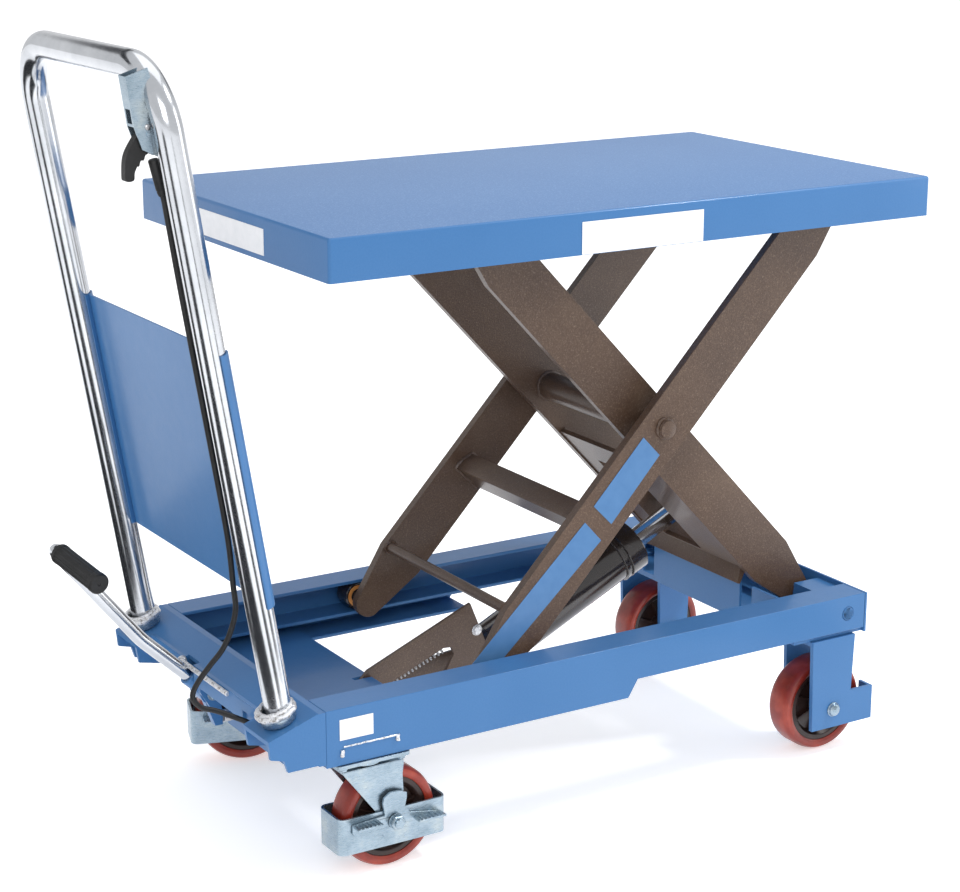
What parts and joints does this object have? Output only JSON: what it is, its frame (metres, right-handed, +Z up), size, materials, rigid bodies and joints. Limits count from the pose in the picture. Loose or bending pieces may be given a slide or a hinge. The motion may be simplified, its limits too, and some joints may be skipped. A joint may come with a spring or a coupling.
{
  "type": "scissor lift table",
  "caption": "Foot-pumped hydraulic scissor lift cart: flat skirted table on crossed arms, channel base frame, rigid and swivel red wheels, tall push handle with release trigger",
  "frame": {"origin": "on the floor, under the middle of the overall bounding box at rest", "axes": "+X from the handle end towards the rigid front wheels, +Y across the width towards the far side, +Z up"},
  "size_m": [1.0848, 0.5, 0.9718],
  "materials": {
    "blue_paint": "semi-gloss blue powder coat",
    "brown_coat": "dark brown textured powder coat",
    "zinc": "bright zinc plate",
    "chrome": "polished chrome plate",
    "bright_steel": "bare ground steel",
    "red_tyre": "cast red polyurethane",
    "dark_hub": "dark moulded nylon",
    "black_rubber": "soft black rubber",
    "black_steel": "gloss black"
  },
  "bodies": {
    "base": {"rail_near": "blue_paint", "rail_far": "blue_paint", "rear_deck": "blue_paint", "front_beam": "blue_paint", "base_shaft": "blue_paint", "front_fork_near": "blue_paint", "front_fork_far": "blue_paint", "front_axle_near": "zinc", "front_axle_far": "zinc", "caster_plate_near": "zinc", "caster_plate_far": "zinc", "handle_frame": "chrome", "handle_foot_near": "zinc", "handle_foot_far": "zinc", "guard_panel": "blue_paint", "trigger_bracket": "zinc", "release_cable": "black_rubber", "pump_body": "blue_paint", "ram_pin": "bright_steel"},
    "inner_fork": {"inner_arm_near": "brown_coat", "inner_arm_far": "brown_coat", "centre_tube": "brown_coat", "centre_shaft": "brown_coat", "torsion_frame": "brown_coat"},
    "outer_fork": {"outer_arm_near": "brown_coat", "outer_arm_far": "brown_coat", "cross_channel": "brown_coat", "cross_bar": "brown_coat"},
    "table": {"table_top": "blue_paint", "table_track_near": "blue_paint", "table_track_far": "blue_paint", "table_shaft": "bright_steel"},
    "base_roller_near": {"base_roller_near": "black_steel"},
    "base_roller_far": {"base_roller_far": "black_steel"},
    "table_roller_near": {"table_roller_near": "black_steel"},
    "table_roller_far": {"table_roller_far": "black_steel"},
    "ram": {"ram_cradle": "brown_coat", "ram_barrel": "black_steel", "cradle_spring": "bright_steel"},
    "ram_rod": {"ram_rod": "chrome"},
    "front_wheel_near": {"front_near_tyre": "red_tyre", "front_near_hub": "dark_hub"},
    "front_wheel_far": {"front_far_tyre": "red_tyre", "front_far_hub": "dark_hub"},
    "caster_near": {"caster_fork_near": "zinc", "caster_guard_near": "zinc"},
    "caster_far": {"caster_fork_far": "zinc", "caster_guard_far": "zinc"},
    "caster_wheel_near": {"caster_near_tyre": "red_tyre", "caster_near_hub": "dark_hub"},
    "caster_wheel_far": {"caster_far_tyre": "red_tyre", "caster_far_hub": "dark_hub"},
    "caster_brake_near": {"caster_brake_near": "zinc"},
    "caster_brake_far": {"caster_brake_far": "zinc"},
    "pedal": {"pedal_crank": "blue_paint", "pedal_tube": "chrome", "pedal_grip": "black_rubber"},
    "plunger": {"pump_plunger": "bright_steel"},
    "trigger": {"trigger_lever": "black_rubber"}
  },
  "joints": [
    {"name": "lift", "type": "hinge", "parent": "base", "child": "inner_fork", "pos_m": [0.46492, 0, 0.1945], "axis": [0, 1, 0], "range_deg": [-36.5, 15.8]},
    {"name": "scissor", "type": "hinge", "parent": "inner_fork", "child": "outer_fork", "pos_m": [0.20652, 0, 0.46861], "axis": [0, 1, 0], "range_deg": [-32, 73.5]},
    {"name": "table_level", "type": "hinge", "parent": "outer_fork", "child": "table", "pos_m": [0.46492, 0, 0.74271], "axis": [0, 1, 0], "range_deg": [-37, 16.2]},
    {"name": "base_roller_near_spin", "type": "hinge", "parent": "outer_fork", "child": "base_roller_near", "pos_m": [-0.05187, -0.1925, 0.1945], "axis": [0, 1, 0], "continuous": true},
    {"name": "base_roller_far_spin", "type": "hinge", "parent": "outer_fork", "child": "base_roller_far", "pos_m": [-0.05187, 0.1925, 0.1945], "axis": [0, 1, 0], "continuous": true},
    {"name": "table_roller_near_spin", "type": "hinge", "parent": "inner_fork", "child": "table_roller_near", "pos_m": [-0.05187, -0.1303, 0.74271], "axis": [0, 1, 0], "continuous": true},
    {"name": "table_roller_far_spin", "type": "hinge", "parent": "inner_fork", "child": "table_roller_far", "pos_m": [-0.05187, 0.1303, 0.74271], "axis": [0, 1, 0], "continuous": true},
    {"name": "ram_tilt", "type": "hinge", "parent": "base", "child": "ram", "pos_m": [-0.22508, 0.02, 0.112], "axis": [0, -1, 0], "range_deg": [-5.8, 2.6]},
    {"name": "rod_stroke", "type": "slide", "parent": "ram", "child": "ram_rod", "axis": [0.9007, 0, 0.4344], "range_m": [-0.058, 0.026]},
    {"name": "front_wheel_near_spin", "type": "hinge", "parent": "base", "child": "front_wheel_near", "pos_m": [0.44592, -0.181, 0.0635], "axis": [0, 1, 0], "continuous": true},
    {"name": "front_wheel_far_spin", "type": "hinge", "parent": "base", "child": "front_wheel_far", "pos_m": [0.44592, 0.181, 0.0635], "axis": [0, 1, 0], "continuous": true},
    {"name": "caster_near_swivel", "type": "hinge", "parent": "base", "child": "caster_near", "pos_m": [-0.25008, -0.193, 0.137], "axis": [0, 0, 1], "continuous": true},
    {"name": "caster_far_swivel", "type": "hinge", "parent": "base", "child": "caster_far", "pos_m": [-0.25008, 0.193, 0.137], "axis": [0, 0, 1], "continuous": true},
    {"name": "caster_wheel_near_spin", "type": "hinge", "parent": "caster_near", "child": "caster_wheel_near", "pos_m": [-0.22308, -0.193, 0.0635], "axis": [0, 1, 0], "continuous": true},
    {"name": "caster_wheel_far_spin", "type": "hinge", "parent": "caster_far", "child": "caster_wheel_far", "pos_m": [-0.2244, 0.18466, 0.0635], "axis": [0.309, 0.9511, 0], "continuous": true},
    {"name": "brake_near", "type": "hinge", "parent": "caster_near", "child": "caster_brake_near", "pos_m": [-0.22308, -0.193, 0.0635], "axis": [0, 1, 0], "range_deg": [-12, 12]},
    {"name": "brake_far", "type": "hinge", "parent": "caster_far", "child": "caster_brake_far", "pos_m": [-0.2244, 0.18466, 0.0635], "axis": [0.309, 0.9511, 0], "range_deg": [-12, 12]},
    {"name": "pedal_stroke", "type": "hinge", "parent": "base", "child": "pedal", "pos_m": [-0.34038, 0.045, 0.1653], "axis": [0, -1, 0], "range_deg": [0, 35], "stiffness_Nm_per_rad": 12, "springref_deg": -17.19},
    {"name": "pump_stroke", "type": "slide", "parent": "base", "child": "plunger", "axis": [1, 0, 0], "range_m": [0, 0.0262]},
    {"name": "release_trigger", "type": "hinge", "parent": "base", "child": "trigger", "pos_m": [-0.48568, -0.171, 0.8875], "axis": [0, -1, 0], "range_deg": [0, 14], "stiffness_Nm_per_rad": 2, "springref_deg": -11.46}
  ],
  "couplings": [
    {"joint": "scissor", "follows": "lift", "ratio": -2},
    {"joint": "table_level", "follows": "lift", "ratio": 1},
    {"joint": "ram_tilt", "follows": "lift", "ratio": 0.156},
    {"joint": "rod_stroke", "follows": "lift", "m_per_rad": 0.09},
    {"joint": "pump_stroke", "follows": "pedal_stroke", "m_per_rad": 0.0413}
  ]
}
